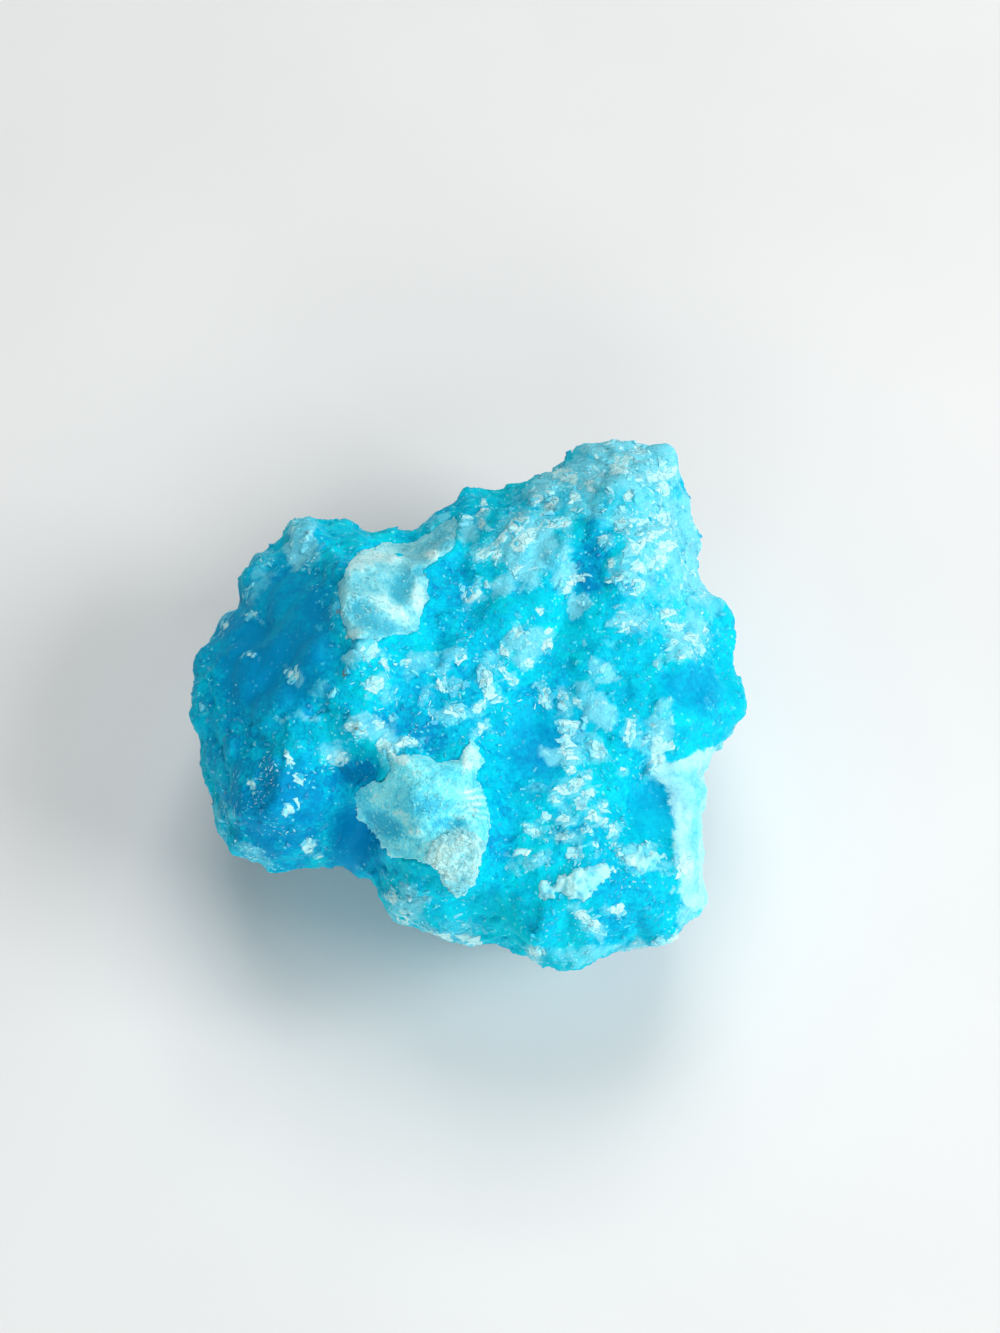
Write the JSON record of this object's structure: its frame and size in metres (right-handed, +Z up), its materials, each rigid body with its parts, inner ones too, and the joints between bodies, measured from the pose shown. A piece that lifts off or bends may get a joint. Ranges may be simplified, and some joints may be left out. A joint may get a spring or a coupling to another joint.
{
  "type": "hemimorphite crystal",
  "caption": "Rough lump of waxy blue hemimorphite with a pointed corner, notched sides, pale crusts and sugary crystals, resting on its broken underside.",
  "frame": {"origin": "centre of the stone's footprint, on the surface it rests on", "axes": "+Z up, +X to the right and +Y away from a person who looks at the stone's best face"},
  "size_m": [0.034, 0.0372, 0.0217],
  "materials": {
    "blue_hemimorphite": "waxy, sugary grain"
  },
  "bodies": {
    "root": {"hemimorphite": "blue_hemimorphite"}
  },
  "joints": []
}
